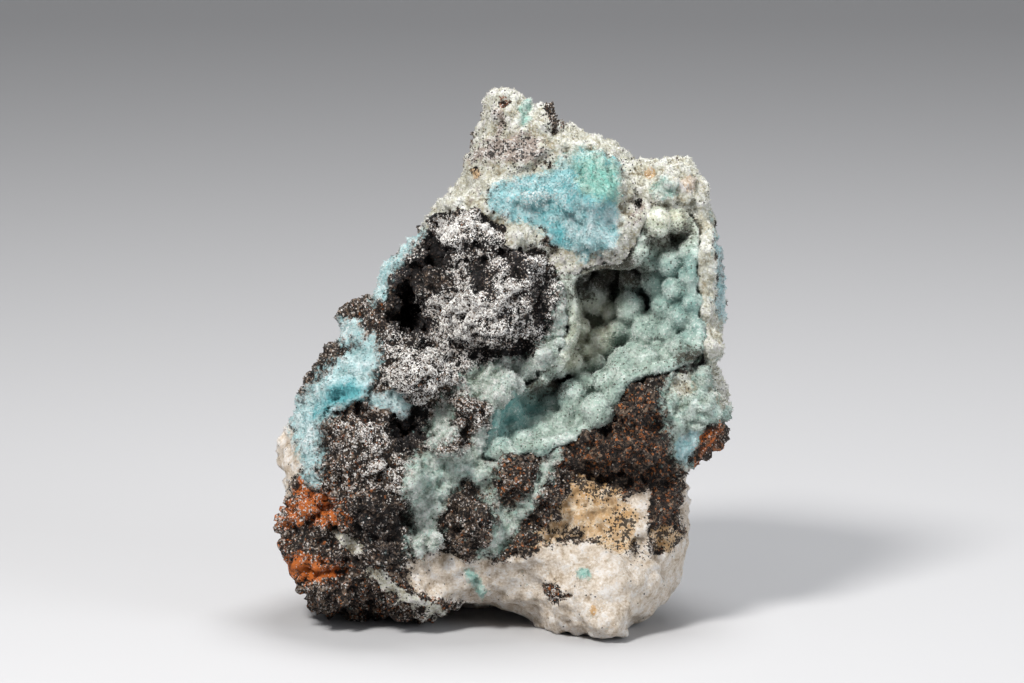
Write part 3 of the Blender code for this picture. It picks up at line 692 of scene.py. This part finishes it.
def grains_group():
    """Separate grains on the surface. Density is the part of them that shows, and it wanders by Cluster."""
    tree, start, end = new_group(
        "grains", {"Vector": "Vector", "Density": "Float", "Size": "Float", "Cluster": "Float"},
        {"Mask": "Float", "Tone": "Float", "Other Tone": "Float"})
    cells = put(tree, "TexVoronoi", Vector=start["Vector"], Scale=start["Size"])
    tones = put(tree, "SeparateColor", Color=cells.outputs["Color"])
    density = times(tree, start["Density"], start["Cluster"])
    shown = sum_of(tree, "LESS_THAN", tones.outputs["Red"], density)
    # Where most grains show they touch, and where few do each one is round.
    reach = spread(tree, density, 0.1, 0.8, 0.45, 0.9)
    inner = sum_of(tree, "LESS_THAN", cells.outputs["Distance"], reach)
    tree.links.new(times(tree, shown, inner), end["Mask"])
    tree.links.new(tones.outputs["Green"], end["Tone"])
    tree.links.new(tones.outputs["Blue"], end["Other Tone"])
    return tree


GROUPS = {"mottle": mottle_group(), "grains": grains_group()}


def use(tree, name, **inputs):
    node = tree.nodes.new("ShaderNodeGroup")
    node.node_tree = GROUPS[name]
    for socket, value in inputs.items():
        fill(tree, node.inputs[socket], value)
    return node.outputs


def mottled(tree, value, dark, middle, light):
    return use(tree, "mottle", Value=value, Dark=dark, Middle=middle, Light=light)["Color"]


def attribute(tree, name):
    return put(tree, "Attribute", {"attribute_name": name}).outputs["Fac"]


def new_material(name):
    """A material with its tree, its shader, and the place of each point on the piece."""
    material = bpy.data.materials.new(name)
    material.use_nodes = True
    tree = material.node_tree
    return material, tree, tree.nodes["Principled BSDF"], put(tree, "TexCoord").outputs["Object"]


def roughen(tree, shader, fine, roughness, strength, depth):
    """Lets a fine noise set the roughness, between two values, and a bump so deep."""
    tree.links.new(spread(tree, fine, 0.3, 0.7, *roughness), shader.inputs["Roughness"])
    bump = put(tree, "Bump", Height=fine, Strength=strength, Distance=depth)
    tree.links.new(bump.outputs["Normal"], shader.inputs["Normal"])


# Dark, middle and light tones of each coat, and the tone it has where its colour is deep.
GOSSAN = ((0.004, 0.003, 0.003), (0.026, 0.017, 0.012), (0.24, 0.17, 0.12))
GOSSAN_DEEP = ((0.003, 0.003, 0.003), (0.005, 0.004, 0.005), (0.045, 0.04, 0.042))
GOSSAN_FLECK = ((0.12, 0.032, 0.01), (0.46, 0.16, 0.045))
TONES = {
    "sand": ((0.44, 0.29, 0.15), (0.64, 0.46, 0.28), (0.78, 0.68, 0.54), (0.56, 0.33, 0.14)),
    "calcite": ((0.46, 0.36, 0.26), (0.69, 0.6, 0.5), (0.82, 0.78, 0.74), (0.5, 0.36, 0.23)),
    "cream": ((0.38, 0.33, 0.23), (0.57, 0.565, 0.47), (0.78, 0.79, 0.74), (0.36, 0.29, 0.26)),
    "mint": ((0.2, 0.25, 0.19), (0.48, 0.56, 0.5), (0.72, 0.8, 0.76), (0.2, 0.5, 0.43)),
    "blue": ((0.28, 0.49, 0.5), (0.53, 0.69, 0.7), (0.8, 0.88, 0.9), (0.12, 0.45, 0.495)),
    "rust": ((0.01, 0.006, 0.005), (0.16, 0.05, 0.018), (0.44, 0.22, 0.12), (0.6, 0.15, 0.02)),
}
# The clear hemimorphite hides most of the grains under it, and its edges are soft.
GLASSY = ("mint", "blue")
FROST_DARK, FROST_LIGHT = (0.2, 0.145, 0.105), (0.9, 0.89, 0.87)
PEPPER = (0.012, 0.009, 0.008)
# The colour that the rock's hollows are multiplied by: painted shade in its pits and crevices.
HOLLOW_SHADE = (0.22, 0.18, 0.13)
# Grains to a metre, and the range of the noise that gathers them in clusters.
WHITE_GRAINS, BLACK_GRAINS = 3900.0, 3300.0
DRIFT = (0.36, 0.6)
# The range over which a wandering edge turns from one colour to another.
EDGE = (0.4, 0.6)


def rock_material():
    material, tree, shader, spot_on = new_material("gossan, calcite and hemimorphite")
    hollow = attribute(tree, "hollow")
    dark_here = attribute(tree, "dark")
    frost = attribute(tree, "frost")
    broad = noise_map(tree, spot_on, 800.0, 7.0, 0.78)
    drift = noise_map(tree, spot_on, 560.0, 6.0, 0.72)
    cluster = spread(tree, drift, *DRIFT, 0.1, 1.8)
    swing = line(tree, broad, 2.4, -1.2)
    white = use(
        tree, "grains", Vector=spot_on, Density=frost, Size=WHITE_GRAINS,
        Cluster=spread(tree, drift, *DRIFT, 0.55, 1.5))
    black = use(
        tree, "grains", Vector=spot_on, Density=attribute(tree, "pepper"), Size=BLACK_GRAINS,
        Cluster=cluster)

    # Hollows take the darker tones and ridges the lighter ones: painted shade and highlight.
    tone = line(tree, hollow, -0.22, drift)
    grainy = line(tree, tone, 0.55, -0.01)
    grainy = line(tree, black["Tone"], 0.36, grainy)
    darker = spread(tree, plus(tree, dark_here, swing), *EDGE)
    body = blend(tree, darker, mottled(tree, grainy, *GOSSAN), mottled(tree, grainy, *GOSSAN_DEEP))
    flecked = times(tree, spread(tree, dark_here, 0.0, 0.4, 0.13, 0.0), cluster)
    flecked = sum_of(tree, "LESS_THAN", black["Other Tone"], flecked)
    body = blend(tree, flecked, body, blend(tree, white["Tone"], *GOSSAN_FLECK))

    sugary = line(tree, white["Tone"], 0.16, plus(tree, tone, -0.07))
    even = line(tree, sugary, 0.65, 0.17)
    deep = plus(tree, attribute(tree, "deep"), swing)
    strong = spread(tree, deep, *EDGE, 0.0, 0.85)
    softly = spread(tree, deep, 0.1, 0.9, 0.0, 0.95)
    glassy = covered = 0.0
    for name, (dark, middle, light, deepest) in TONES.items():
        half_step = 0.2 if name in GLASSY else 0.04
        mask = spread(tree, plus(tree, attribute(tree, name), swing), 0.5 - half_step, 0.5 + half_step)
        if name in GLASSY:
            glassy = sum_of(tree, "MAXIMUM", glassy, mask)
            coat = blend(tree, softly, mottled(tree, even, dark, middle, light), deepest)
        else:
            coat = blend(tree, strong, mottled(tree, sugary, dark, middle, light), deepest)
        covered = sum_of(tree, "MAXIMUM", covered, mask)
        body = blend(tree, mask, body, coat)
    # Hollows are darkened, less under the clear coats: painted shade.
    hollow_shade = spread(tree, hollow, 0.08, 0.7, 0.0, 0.9)
    hollow_shade = times(tree, hollow_shade, spread(tree, glassy, 0.0, 1.0, 1.0, 0.25))
    body = blend(tree, hollow_shade, body, HOLLOW_SHADE, "MULTIPLY")
    frosted = times(tree, white["Mask"], spread(tree, glassy, 0.0, 1.0, 1.0, 0.5))
    bright = times(tree, white["Tone"], spread(tree, frost, 0.1, 0.6, 0.45, 1.05))
    bright = sum_of(tree, "MAXIMUM", bright, times(tree, covered, 0.65))
    body = blend(tree, frosted, body, blend(tree, bright, FROST_DARK, FROST_LIGHT))
    peppered = times(tree, black["Mask"], spread(tree, glassy, 0.0, 1.0, 0.9, 0.35))
    tree.links.new(blend(tree, peppered, body, PEPPER), shader.inputs["Base Color"])
    roughen(tree, shader, noise_map(tree, spot_on, 2600.0, 4.0, 0.75), (0.35, 0.85), 1.0, 0.55 * MM)
    shader.inputs["Specular IOR Level"].default_value = 0.3
    return material


ROCK_FINISH = rock_material()
rock.data.materials.clear()
rock.data.materials.append(ROCK_FINISH)
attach(rock, "root")
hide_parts("matrix")

# The crust of the hollow.
# Hemimorphite has grown over the walls in round lumps of tiny crystals, mint to teal, creamy in the deep
# of the hollow and brown where iron has stained it. The same dark brown is also painted as shadow at the
# back of the hollow, in the slot under its rim and on its left wall, and the crevices between the lumps are
# painted darker and their tops paler, as painted shade and highlight.
CRUST_GRAIN = 0.3 * MM
# The lumps: x, y and radius in pixels, and the depth of their front in millimetres, before LUMP_PROUD.
CRUST_LUMPS = [
    (651, 218, 13, 7.5), (672, 224, 10, 6.5), (688, 228, 9, 7.0), (661, 240, 11, 5.5), (647, 259, 15, 5.5),
    (670, 262, 15, 7.0), (689, 252, 11, 7.5), (689, 278, 12, 8.0), (653, 284, 13, 4.5), (673, 290, 13, 6.5),
    (692, 304, 11, 8.0), (662, 307, 12, 5.0), (680, 317, 13, 7.0), (697, 326, 9, 8.0), (667, 331, 11, 5.5),
    (690, 342, 12, 8.5), (674, 349, 12, 6.5), (657, 352, 11, 5.0), (629, 309, 14, 3.0), (646, 330, 16, 5.0),
    (618, 330, 11, 1.0), (634, 352, 12, 4.5), (611, 314, 9, -1.0), (630, 287, 10, 1.0), (641, 368, 12, 7.0),
    (622, 366, 15, 7.5), (596, 303, 14, -1.5), (578, 328, 12, 0.5), (602, 342, 15, 1.0),
    (583, 302, 8, -2.0), (570, 312, 8, 1.0), (567, 346, 10, 3.0), (584, 352, 10, 1.5), (595, 363, 10, 2.5),
    (572, 364, 12, 4.0), (557, 368, 11, 5.0), (606, 284, 11, -2.5), (582, 284, 8, -1.0), (616, 264, 9, 6.5),
    (629, 255, 8, 7.0), (634, 240, 8, 8.0), (640, 226, 7, 8.5), (606, 381, 12, 7.5), (585, 385, 13, 5.5),
    (574, 405, 13, 7.5), (594, 409, 14, 9.0), (609, 398, 8, 8.5), (581, 425, 10, 8.5), (566, 422, 10, 7.0),
    (561, 437, 9, 8.0), (545, 394, 17, 2.0), (521, 400, 17, 3.0), (546, 418, 20, 4.5), (517, 424, 20, 5.5),
    (536, 440, 17, 7.0), (511, 446, 15, 7.5), (496, 434, 12, 7.5), (499, 414, 11, 6.0), (487, 452, 9, 8.5),
]
# Round lobes on the front of the crust: x, y and radius in pixels, and how far their middle lies behind
# it, as a part of the radius, or in front of it where that is negative.
LOBES = [
    (573, 396, 15, 0.05), (596, 411, 17, 0.0), (605, 381, 14, 0.05), (586, 372, 10, 0.05),
    (621, 368, 15, 0.1), (643, 361, 16, 0.0), (664, 358, 13, 0.1), (682, 347, 13, 0.05),
    (562, 422, 12, 0.05), (545, 434, 14, 0.05), (523, 442, 13, 0.05), (502, 449, 12, 0.05),
    (655, 224, 15, 0.05), (676, 222, 12, 0.05), (512, 410, 12, -0.2), (531, 402, 13, -0.1),
    (535, 420, 12, -0.2), (551, 404, 10, -0.2), (514, 430, 10, -0.2),
]
LUMP_PROUD = 1.15
LUMP_SIZE = 0.97
SMALL_LUMPS = 150
SMALL_LUMP_RADII = (0.5, 1.2)
SMALL_LUMP_SUNK = 0.55
FAR_IN_FRONT = 60
CRUST_DOME, CRUST_BUD, CRUST_GRIT = 4.6 * MM, 1.2 * MM, 0.8 * MM
CRUST_EDGE = 22


def add_ball(mesh, where, radius, rings=2):
    bmesh.ops.create_icosphere(mesh, subdivisions=rings, radius=radius, matrix=Matrix.Translation(where))


def crust_shape():
    crust = merged_copy("vug_crust", "crust")
    mesh = bmesh.new()
    mesh.from_mesh(crust.data)
    mesh.normal_update()
    skin = [(vertex.co.copy(), vertex.normal.copy()) for vertex in mesh.verts]
    front_of = BVHTree.FromBMesh(mesh)
    for x, y, radius, sunk in LOBES:
        where = front_of.ray_cast(place(x, y, FAR_IN_FRONT), -OUT)[0]
        if where:
            add_ball(mesh, where - OUT * radius * PIXEL * sunk, radius * PIXEL, 3)
    draw = np.random.default_rng(4)
    for index in draw.choice(len(skin), SMALL_LUMPS, replace=False):
        spot_on, normal = skin[index]
        radius = draw.uniform(*SMALL_LUMP_RADII) * MM
        add_ball(mesh, spot_on - normal * radius * SMALL_LUMP_SUNK, radius)
    for x, y, radius, front in CRUST_LUMPS:
        size = radius * PIXEL * LUMP_SIZE
        add_ball(mesh, place(x, y, front + LUMP_PROUD - size / MM), size, 3)
    mesh.to_mesh(crust.data)
    mesh.free()
    return melt_together(crust, CRUST_GRAIN, 2)


# The colour of the crust: how creamy, how deep a teal, how dark brown (from iron stains, and painted shadow
# in the patches named for it), and its outline.
CRUST_PATCHES = {
    "whole": (0.0, 0.15, 0.0, [(440, 180), (740, 180), (740, 480), (440, 480)]),
    "floor of the cave": (0.0, 0.8, 0.0, [(470, 385), (560, 375), (572, 400), (560, 450), (470, 470)]),
    "deep side": (0.8, 0.0, -0.15, [(555, 280), (600, 270), (622, 300), (618, 350), (600, 370), (560, 378),
        (550, 340)]),
    # Painted shadow under the dome's overhang, in the stain's dark brown.
    "painted shadow at the back of the hollow": (0.3, 0.0, 1.0, [(552, 256), (630, 246), (648, 272), (626, 292), (606, 298),
        (566, 300)]),
    "pale middle": (0.1, 0.1, 0.0, [(622, 300), (660, 300), (668, 345), (640, 378), (604, 378),
        (612, 340)]),
    "teal wall": (0.0, 0.35, 0.05, [(664, 250), (700, 240), (706, 350), (672, 345), (660, 300)]),
    "brown under the corner": (0.5, 0.1, 0.62, [(636, 222), (668, 226), (702, 214), (704, 240), (668, 252),
        (640, 250)]),
    "cream corner": (0.9, 0.0, 0.15, [(638, 204), (690, 206), (690, 224), (664, 232), (640, 224)]),
    "lobes of the rim": (0.12, 0.04, 0.14, [(484, 446), (530, 424), (556, 400), (570, 378), (600, 362),
        (640, 346), (690, 338), (704, 350), (650, 380), (622, 384), (612, 424), (575, 446), (486, 470)]),
    "slot": (0.2, 0.5, 0.8, [(676, 352), (704, 346), (704, 366), (676, 372)]),
    # Painted shadow along the upper edge of the cave.
    "painted shadow in the slot": (0.2, 0.5, 0.85, [(508, 380), (560, 372), (566, 392), (530, 398)]),
    # Painted shade on the hollow's left wall.
    "painted shade on the left wall": (0.4, 0.1, 0.45, [(552, 268), (572, 272), (574, 300), (572, 335), (556, 368), (535, 384),
        (528, 374), (556, 336)]),
}


def crust_colours(points):
    x, y, depth = seen(points)
    cream, teal, stain_and_shadow = (np.zeros(len(points)) for _ in range(3))
    for to_cream, to_teal, to_stain_and_shadow, outline in CRUST_PATCHES.values():
        weight = inside(outline, x, y, CRUST_EDGE)
        cream += (to_cream - cream) * weight
        teal += (to_teal - teal) * weight
        stain_and_shadow += (to_stain_and_shadow - stain_and_shadow) * weight
    return {"creamy": cream, "teal": teal, "stain_and_shadow": stain_and_shadow}


crust = carried(crust_shape())
crust_points = points_of(crust)
crust_relief = (
    0.5 * domes_at(crust_points, CRUST_DOME) + 0.08 * domes_at(crust_points, CRUST_BUD)
    + 0.1 * noise_at(crust_points, CRUST_GRIT))
crust_points += normals_of(crust) * ((crust_relief - 0.35) * MM)[:, None]
move_to(crust, crust_points)
sharpen(crust, 40, 0.35)
crust_points = points_of(crust)
crust_hollow = hollowness(crust, 40)
for name, values in crust_colours(crust_points).items():
    store(crust.data, name, values)
store(crust.data, "hollow", crust_hollow)
store(crust.data, "crystals", np.clip(1 - crust_hollow, 0.3, 1))
crust.data.shade_smooth()

CRUST_MINT = ((0.2, 0.29, 0.25), (0.31, 0.42, 0.37), (0.48, 0.58, 0.53))
CRUST_TEAL = (0.09, 0.3, 0.29)
CRUST_CREAM = ((0.31, 0.29, 0.18), (0.57, 0.57, 0.43), (0.76, 0.76, 0.66))
# The dark brown of iron stains. It is also used for the painted shadow in the hollow and for the black
# grains.
CRUST_STAIN_AND_SHADOW = (0.035, 0.027, 0.012)
# The colour that the crust's crevices are multiplied by: painted shade.
CRUST_HOLLOW_SHADE = (0.13, 0.125, 0.07)


def crust_material():
    material, tree, shader, spot_on = new_material("drusy hemimorphite")
    hollow = attribute(tree, "hollow")
    stain_and_shadow = attribute(tree, "stain_and_shadow")
    drift = noise_map(tree, spot_on, 420.0, 6.0, 0.66)
    # More white grains on the tops of the lumps than in their crevices: a painted highlight.
    white = use(
        tree, "grains", Vector=spot_on, Size=WHITE_GRAINS, Cluster=spread(tree, drift, *DRIFT, 0.3, 1.7),
        Density=spread(tree, hollow, -0.4, 0.2, 0.26, 0.05))
    black = use(
        tree, "grains", Vector=spot_on, Size=BLACK_GRAINS, Cluster=spread(tree, drift, 0.4, 0.62, 2.0, 0.1),
        Density=spread(tree, stain_and_shadow, 0.0, 0.8, 0.012, 0.55))
    # Crevices take the darker tones and lump tops the lighter ones: painted shade and highlight.
    tone = line(tree, hollow, -0.16, drift)
    tone = line(tree, white["Tone"], 0.1, plus(tree, tone, -0.05))
    clouds = spread(tree, drift, *EDGE, 1.0, 0.45)
    body = blend(
        tree, times(tree, attribute(tree, "teal"), clouds), mottled(tree, tone, *CRUST_MINT), CRUST_TEAL)
    body = blend(tree, attribute(tree, "creamy"), body, mottled(tree, tone, *CRUST_CREAM))
    # Dark brown where the crust is stained, and painted shadow at the back of the hollow, in the slot and
    # on the left wall.
    stain_and_shadow_amount = line(tree, drift, -1.6, plus(tree, stain_and_shadow, 0.8))
    body = blend(tree, spread(tree, stain_and_shadow_amount, 0.25, 0.85, 0.0, 0.85), body, CRUST_STAIN_AND_SHADOW)
    # Crevices between the lumps are darkened: painted shade.
    body = blend(tree, spread(tree, hollow, 0.12, 1.2, 0.0, 0.9), body, CRUST_HOLLOW_SHADE, "MULTIPLY")
    body = blend(tree, times(tree, white["Mask"], 0.35), body, FROST_LIGHT)
    body = blend(tree, times(tree, black["Mask"], 0.8), body, CRUST_STAIN_AND_SHADOW)
    tree.links.new(body, shader.inputs["Base Color"])
    roughen(tree, shader, noise_map(tree, spot_on, 3200.0, 4.0, 0.7), (0.28, 0.62), 0.9, 0.35 * MM)
    for name, value in {
        "Subsurface Weight": 0.25, "Subsurface Radius": (0.6, 1.0, 0.9), "Subsurface Scale": 0.8 * MM,
        "Sheen Weight": 0.35, "Sheen Roughness": 0.4,
    }.items():
        shader.inputs[name].default_value = value
    return material


CRUST_FINISH = crust_material()
crust.data.materials.clear()
crust.data.materials.append(CRUST_FINISH)
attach(crust, "root")
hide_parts("vug_crust")

# The crystals of the druse.
# Each skin ends in thousands of tiny pointed crystals: white on the ridges of the gossan, black iron oxide
# between them, and blue-green hemimorphite over the dome, the veins and the hollow.
CRYSTAL_SIDES = 4


def crystals_tree():
    """Scatters pointed crystals over a surface, more of them where an attribute of it is high."""
    sockets = {
        "Surface": "Geometry", "Where": "String", "Number per Area": "Float", "Smallest": "Float",
        "Largest": "Float", "Length": "Float", "Lean": "Float", "Seed": "Int", "Finish": "Material",
    }
    tree, start, end = new_group("crystals", sockets, {"Crystals": "Geometry"}, "GeometryNodeTree")
    where = put(tree, "GeometryNodeInputNamedAttribute", {"data_type": "FLOAT"}, Name=start["Where"])
    points = put(
        tree, "GeometryNodeDistributePointsOnFaces", Mesh=start["Surface"], Seed=start["Seed"],
        Density=times(tree, where.outputs["Attribute"], start["Number per Area"]))
    # Each leans either way by up to the angle, and is turned about itself by any.
    other_way = times(tree, start["Lean"], -1.0)
    least = put(tree, "CombineXYZ", X=other_way, Y=other_way)
    most = put(tree, "CombineXYZ", X=start["Lean"], Y=start["Lean"], Z=math.pi)
    lean = put(
        tree, "FunctionNodeRandomValue", {"data_type": "FLOAT_VECTOR"},
        Min=least.outputs[0], Max=most.outputs[0])
    turned = put(
        tree, "FunctionNodeRotateRotation", {"rotation_space": "LOCAL"},
        Rotation=points.outputs["Rotation"], Rotate_By=lean.outputs["Value"])
    size = put(tree, "FunctionNodeRandomValue", {"data_type": "FLOAT"})
    fill(tree, size.inputs[2], start["Smallest"])
    fill(tree, size.inputs[3], start["Largest"])
    crystal = put(
        tree, "GeometryNodeMeshCone", Vertices=CRYSTAL_SIDES, Radius_Bottom=0.5, Depth=start["Length"])
    placed = put(
        tree, "GeometryNodeInstanceOnPoints", Points=points.outputs["Points"],
        Instance=crystal.outputs["Mesh"], Rotation=turned.outputs["Rotation"], Scale=size.outputs[1])
    real = put(tree, "GeometryNodeRealizeInstances", Geometry=placed.outputs["Instances"])
    finished = put(
        tree, "GeometryNodeSetMaterial", Geometry=real.outputs["Geometry"], Material=start["Finish"])
    tree.links.new(finished.outputs["Geometry"], end["Crystals"])
    return tree


CRYSTALS = crystals_tree()


def scatter(name, host, where, number, smallest, largest, length, lean, seed, finish):
    """Crystals over a host piece, as a plain mesh. Number is per square millimetre, sizes are in
    millimetres, and length is a part of a crystal's width."""
    made = new_object(name, host.data.copy())
    maker = made.modifiers.new("crystals", "NODES")
    maker.node_group = CRYSTALS
    values = {
        "Where": where, "Number per Area": number / MM ** 2, "Smallest": smallest * MM,
        "Largest": largest * MM, "Length": length, "Lean": math.radians(lean), "Seed": seed,
        "Finish": finish,
    }
    for socket in CRYSTALS.interface.items_tree:
        if socket.name in values:
            maker[socket.identifier] = values[socket.name]
    settle(made)
    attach(made, "root")
    return made


def grain_material(name, dark, light, roughness):
    """Small crystals of one kind, whose tone and gloss drift from place to place."""
    material, tree, shader, spot_on = new_material(name)
    drift = noise_map(tree, spot_on, 1900.0, 2.0, 0.5)
    tree.links.new(blend(tree, spread(tree, drift, *DRIFT), dark, light), shader.inputs["Base Color"])
    tree.links.new(spread(tree, drift, 0.3, 0.7, *roughness), shader.inputs["Roughness"])
    return material


WHITE_DRUSE = grain_material("white druse", (0.3, 0.285, 0.27), (0.92, 0.91, 0.88), (0.25, 0.5))
DARK_DRUSE = grain_material("dark druse", (0.007, 0.006, 0.007), (0.06, 0.032, 0.02), (0.25, 0.6))
for piece, kind in (
    (scatter("white_druse", rock, "white crystals", 66.0, 0.09, 0.21, 1.2, 70, 1, WHITE_DRUSE), "rock"),
    (scatter("dark_druse", rock, "dark crystals", 11.0, 0.12, 0.28, 0.8, 70, 2, DARK_DRUSE), "rock"),
    (scatter("coat_druse", rock, "coat crystals", 8.0, 0.1, 0.28, 1.4, 45, 3, ROCK_FINISH), "rock"),
    (scatter("crust_druse", crust, "crystals", 8.0, 0.1, 0.26, 1.4, 50, 4, CRUST_FINISH), "crust"),
):
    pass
